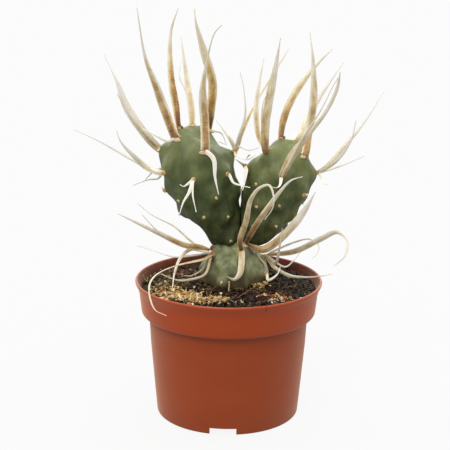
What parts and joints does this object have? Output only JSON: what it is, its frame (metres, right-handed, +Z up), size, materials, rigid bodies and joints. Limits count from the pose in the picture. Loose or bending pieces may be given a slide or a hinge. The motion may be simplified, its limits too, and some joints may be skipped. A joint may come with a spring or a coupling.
{
  "type": "potted paper spine cactus",
  "caption": "Segmented paper spine cactus with long flat papery spines, growing in a terracotta-coloured round nursery pot with a collar.",
  "frame": {"origin": "on the surface that the pot stands on, at the pot's axis", "axes": "+Z up the pot's axis; the front of the plant faces -Y and its two upper segments lean towards -X and +X"},
  "size_m": [0.1715, 0.1052, 0.2291],
  "materials": {
    "pot": "satin",
    "soil": "matte",
    "old_skin": "matte",
    "skin": "matte",
    "spine": "matte",
    "wool": "matte"
  },
  "bodies": {
    "root": {"pot": "pot", "soil": "soil", "base_segment": "old_skin", "left_segment": "skin", "right_segment": "skin"}
  },
  "joints": []
}
